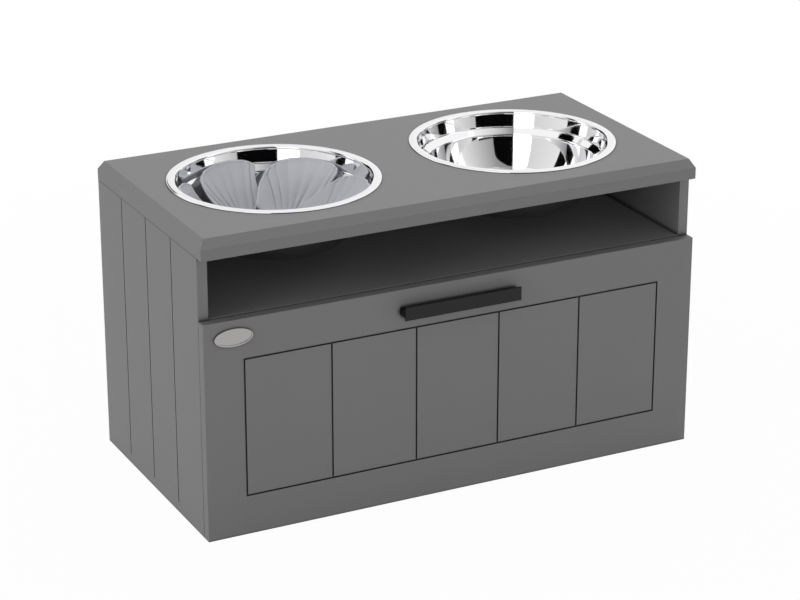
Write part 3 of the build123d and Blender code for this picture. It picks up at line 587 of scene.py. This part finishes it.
def petalRingTree():
    # the petal turned round the bowl's axis, one instance for each place, joined with the hub
    tree, entry, result = newTree("petalRing", Petals="Int", Turn="Float", Place="Vector",
                                  Hub="Object", Finish="Material")
    points = addNode(tree, "GeometryNodeMeshLine", {"Count": entry.outputs["Petals"],
                     "Offset": (0, 0, 0)}, mode="OFFSET")
    index = addNode(tree, "GeometryNodeInputIndex")
    share = addNode(tree, "ShaderNodeMath", {0: 2 * math.pi, 1: entry.outputs["Petals"]},
                    operation="DIVIDE")
    turned = addNode(tree, "ShaderNodeMath", {0: index.outputs[0], 1: share.outputs[0],
                     2: entry.outputs["Turn"]}, operation="MULTIPLY_ADD")
    angle = addNode(tree, "ShaderNodeCombineXYZ", {"Z": turned.outputs[0]})
    petals = addNode(tree, "GeometryNodeInstanceOnPoints", {"Points": points.outputs[0],
                     "Instance": entry.outputs["Geometry"], "Rotation": angle.outputs[0]})
    hub = addNode(tree, "GeometryNodeObjectInfo", {"Object": entry.outputs["Hub"]},
                  transform_space="ORIGINAL")
    joined = addNode(tree, "GeometryNodeJoinGeometry", {"Geometry": petals.outputs[0]})
    tree.links.new(hub.outputs["Geometry"], joined.inputs["Geometry"])
    placed = addNode(tree, "GeometryNodeTransform", {"Geometry": joined.outputs[0],
                     "Translation": entry.outputs["Place"]})
    real = addNode(tree, "GeometryNodeRealizeInstances", {"Geometry": placed.outputs[0]})
    smooth = addNode(tree, "GeometryNodeSetShadeSmooth", {"Geometry": real.outputs[0]})
    painted = addNode(tree, "GeometryNodeSetMaterial", {"Geometry": smooth.outputs[0],
                      "Material": entry.outputs["Finish"]})
    tree.links.new(painted.outputs[0], result.inputs["Geometry"])
    return tree


def hubSection():
    # a flat disc with a rounded upper edge
    radius, height = feeder["hub"], feeder["hubHeight"]
    bend, edge = feeder["hubBend"], feeder["hubRound"]
    line = [(0, height)]
    line += straight(line[-1], (radius - edge, height), 8)
    line += arcThrough(line[-1], (radius - bend, height - bend), (radius, height - edge), 5)
    return line + straight(line[-1], (radius, 0), 2) + straight((radius, 0), (0, 0), 8)


insertPlastic = mouldedPlastic()
hub = applyTree(sectionCurve("feederHub", hubSection(), sweepRadius), spunSheet,
                Segments=feeder["hubSegments"], Radius=sweepRadius * mm, Weld=poleWeld,
                Place=(0.0, 0.0, 0.0), Finish=insertPlastic)
petalSource = link(bpy.data.objects.new("slowFeederInsert", petalMesh()))
insert = applyTree(petalSource, petalRingTree(), Petals=feeder["petals"],
                   Turn=math.radians(feeder["turn"]), Hub=hub, Finish=insertPlastic,
                   Place=(-bowl["spacing"] / 2 * mm, bowl["y"] * mm, feeder["floor"] * mm))
bpy.data.objects.remove(hub)
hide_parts("feeder_insert")
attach(insert, "feeder_insert")
print("Slow feeder insert", len(insert.data.vertices), "points")

# every other piece keeps its solid and takes the finish of its slot
slotMaterials = {"painted_board": evenCoat("satinPaintedFibreboard"),
                 "drawer_board": evenCoat("matPaintedFibreboard"),
                 "thin_panel": evenCoat("paintedHardboard"),
                 "pad_plastic": evenCoat("mouldedBlackPolyethylene"),
                 "black_aluminium": strokedMetal("blackAnodisedAluminium"),
                 "badge_metal": strokedMetal("satinAluminium"),
                 "zinc_steel": strokedMetal("zincPlatedSteel"),
                 "cam_zinc": strokedMetal("dieCastZinc"),
                 "cage_steel": strokedMetal("pressedSteelStrip"),
                 "beech": bareBeech(), "mirror_steel": mirrorSteel, "insert_plastic": insertPlastic}
slotOf = {row["node"]: row["material_slot"] for row in frame["record"]["subparts"]}
for nodeName, node in frame["nodes"].items():
    for materialSlot in node.material_slots:
        materialSlot.material = slotMaterials[slotOf[nodeName]]
print("Materials on all solids")


# metres
studio = {"floorRadius": 9.0, "floorCorners": 72, "floorDrop": 0.0002, "floorTone": "#c8c8c8",
          "clearFrom": 0.35, "clearTo": 1.6, "haze": 0.975, "fill": 0.2,
          "nearestCard": 6.5, "cardStep": 0.04, "lampDistance": 3}


def seenRays(tree):
    # 1 for what is seen, straight, mirrored or through glass, and 0 for what lights other things
    path = addNode(tree, "ShaderNodeLightPath")
    mirrored = addNode(tree, "ShaderNodeMath", {0: path.outputs["Is Camera Ray"],
                       1: path.outputs["Is Glossy Ray"]}, operation="MAXIMUM")
    seen = addNode(tree, "ShaderNodeMath", {0: mirrored.outputs[0],
                   1: path.outputs["Is Transmission Ray"]}, operation="MAXIMUM")
    return seen.outputs[0]


def paleFloor():
    # near the object the floor takes its soft shadow, further out it runs into the white backdrop
    material = bpy.data.materials.new("paleStudioFloor")
    material.use_nodes = True
    tree = material.node_tree
    tree.nodes.clear()
    coords = addNode(tree, "ShaderNodeTexCoord")
    reach = addNode(tree, "ShaderNodeVectorMath", {0: coords.outputs["Object"]}, operation="LENGTH")
    fade = addNode(tree, "ShaderNodeMapRange", {0: reach.outputs["Value"], 1: studio["clearFrom"],
                   2: studio["clearTo"], 3: studio["haze"], 4: 1.0},
                   interpolation_type="SMOOTHSTEP")
    share = addNode(tree, "ShaderNodeMath", {0: fade.outputs[0], 1: seenRays(tree)},
                    operation="MULTIPLY")
    paint = addNode(tree, "ShaderNodeBsdfDiffuse", {"Color": colour(studio["floorTone"])})
    glow = addNode(tree, "ShaderNodeEmission", {"Color": (1, 1, 1, 1), "Strength": 1.0})
    mixed = addNode(tree, "ShaderNodeMixShader", {0: share.outputs[0], 1: paint.outputs[0],
                    2: glow.outputs[0]})
    addNode(tree, "ShaderNodeOutputMaterial", {"Surface": mixed.outputs[0]})
    return material


corners = [2 * math.pi * i / studio["floorCorners"] for i in range(studio["floorCorners"])]
floorPoints = [(studio["floorRadius"] * math.cos(turn), studio["floorRadius"] * math.sin(turn),
                -studio["floorDrop"]) for turn in corners]
floorMesh = meshFromData("studioFloor", floorPoints, [tuple(range(len(corners)))])
floor = link(bpy.data.objects.new("studioFloor", floorMesh))
floor.data.materials.append(paleFloor())

# what polished metal mirrors besides the white room: black flags, white strips and grey walls.
# first two angles, counted from the back towards the right, then three rises in degrees: the
# lower edge, and the upper edge at either end. last the tones at either end and their strength.
# the first cards stand in front of the later ones
cards = {"blackFlagLow": ((161, 182), (2, 13, 13), ("#050505", "#050505"), 1),
         "blackFlagFront": ((181.5, 209.5), (2, 30, 46), ("#050505", "#050505"), 1),
         "softStripFront": ((209.5, 235.5), (2, 66, 66), ("#ffffff", "#ffffff"), 1.5),
         "blackFlagHigh": ((298, 322), (41, 57, 57), ("#050505", "#050505"), 1),
         "blackFlagLeft": ((281, 297), (2, 38, 38), ("#080808", "#080808"), 1),
         "softStripLeft": ((297, 312), (2, 38, 38), ("#ffffff", "#ffffff"), 1.5),
         "leftWall": ((235, 285), (2, 52, 52), ("#dcdcdc", "#f0f0f0"), 1),
         "blackFlagRightFront": ((101, 119), (2, 24, 24), ("#060606", "#060606"), 1),
         "softStripRight": ((119, 131), (2, 60, 60), ("#ffffff", "#ffffff"), 1.3),
         "blackFlagBack": ((330, 370), (2, 30, 30), ("#060606", "#060606"), 1),
         "blackFlagRight": ((44, 66), (2, 14, 14), ("#060606", "#060606"), 1),
         "backWallLeft": ((312, 332), (2, 42, 42), ("#d0d0d0", "#dcdcdc"), 1),
         "backWall": ((370, 404), (2, 60, 60), ("#f4f4f4", "#ffffff"), 1),
         "rightWallLow": ((70, 101), (2, 16, 16), ("#b4b4b4", "#aaaaaa"), 1),
         "frontWall": ((131, 182), (2, 50, 50), ("#ececec", "#9a9a9a"), 1),
         "frontWallEnd": ((182, 209.5), (2, 54, 54), ("#9a9a9a", "#8c8c8c"), 1),
         "frontCeiling": ((122, 209), (52, 80, 80), ("#ffffff", "#8c8c8c"), 1),
         "ceiling": ((0, 360), (80, 90, 90), ("#c6c6c6", "#c6c6c6"), 1)}
cardColumns, cardRows = 16, 10


def studioCard(name, distance, turns, rises, tones, strength):
    columns, rows = cardColumns, cardRows
    first, last = colour(tones[0]), colour(tones[1])
    verts, faces, glows = [], [], []
    for row in range(rows + 1):
        for column in range(columns + 1):
            along = column / columns
            top = rises[1] + (rises[2] - rises[1]) * math.sqrt(along)
            rise = math.radians(rises[0] + (top - rises[0]) * row / rows)
            turn = math.radians(turns[0] + (turns[1] - turns[0]) * along)
            verts.append((distance * math.sin(turn) * math.cos(rise),
                          distance * math.cos(turn) * math.cos(rise), distance * math.sin(rise)))
            glows.append([a + (b - a) * along for a, b in zip(first, last)])
    for row in range(rows):
        for column in range(columns):
            corner = row * (columns + 1) + column
            faces.append((corner, corner + 1, corner + columns + 2, corner + columns + 1))
    card = link(bpy.data.objects.new(name, meshFromData(name, verts, faces)))
    shade = card.data.attributes.new("shade", "FLOAT_COLOR", "POINT")
    for point, glow in zip(shade.data, glows):
        point.color = glow
    material = bpy.data.materials.new(name)
    material.use_nodes = True
    tree = material.node_tree
    tree.nodes.clear()
    tone = addNode(tree, "ShaderNodeAttribute", attribute_name="shade")
    emission = addNode(tree, "ShaderNodeEmission", {"Color": tone.outputs["Color"],
                       "Strength": strength})
    addNode(tree, "ShaderNodeOutputMaterial", {"Surface": emission.outputs[0]})
    card.data.materials.append(material)
    # only mirrored: the cards light nothing, shade nothing and never stand in the view
    card.visible_camera = card.visible_diffuse = card.visible_shadow = False
    card.visible_transmission = card.visible_volume_scatter = False


for order, (name, place) in enumerate(cards.items()):
    studioCard(name, studio["nearestCard"] + studio["cardStep"] * order, *place)

world = bpy.data.worlds.new("studioWorld")
bpy.context.scene.world = world
world.use_nodes = True
worldTree = world.node_tree
worldTree.nodes.clear()
strength = addNode(worldTree, "ShaderNodeMapRange", {0: seenRays(worldTree),
                   3: studio["fill"], 4: 1.0})
backdrop = addNode(worldTree, "ShaderNodeBackground", {"Color": (1, 1, 1, 1),
                   "Strength": strength.outputs[0]})
addNode(worldTree, "ShaderNodeOutputWorld", {"Surface": backdrop.outputs[0]})

# direction that the light comes from, strength and spread in degrees
lamps = {"overheadBank": ((0.15, 0.35, 0.9), 1.62, 50),
         "leftPanel": ((-0.95, -0.03, 0.25), 1.0, 45),
         "frontFill": ((-0.06, -1.0, 0.2), 0.6, 10),
         "frontSoft": ((0, -0.8, 0.6), 0.1, 60)}
for name, (source, energy, spread) in lamps.items():
    light = bpy.data.lights.new(name, "SUN")
    light.energy = energy
    light.angle = math.radians(spread)
    lamp = link(bpy.data.objects.new(name, light))
    lamp.location = Vector(source) * studio["lampDistance"]
    lamp.rotation_euler = Vector(source).to_track_quat("Z", "Y").to_euler()
    lamp.visible_glossy = False
print("Studio set")


bpy.context.scene.view_settings.view_transform = "Standard"
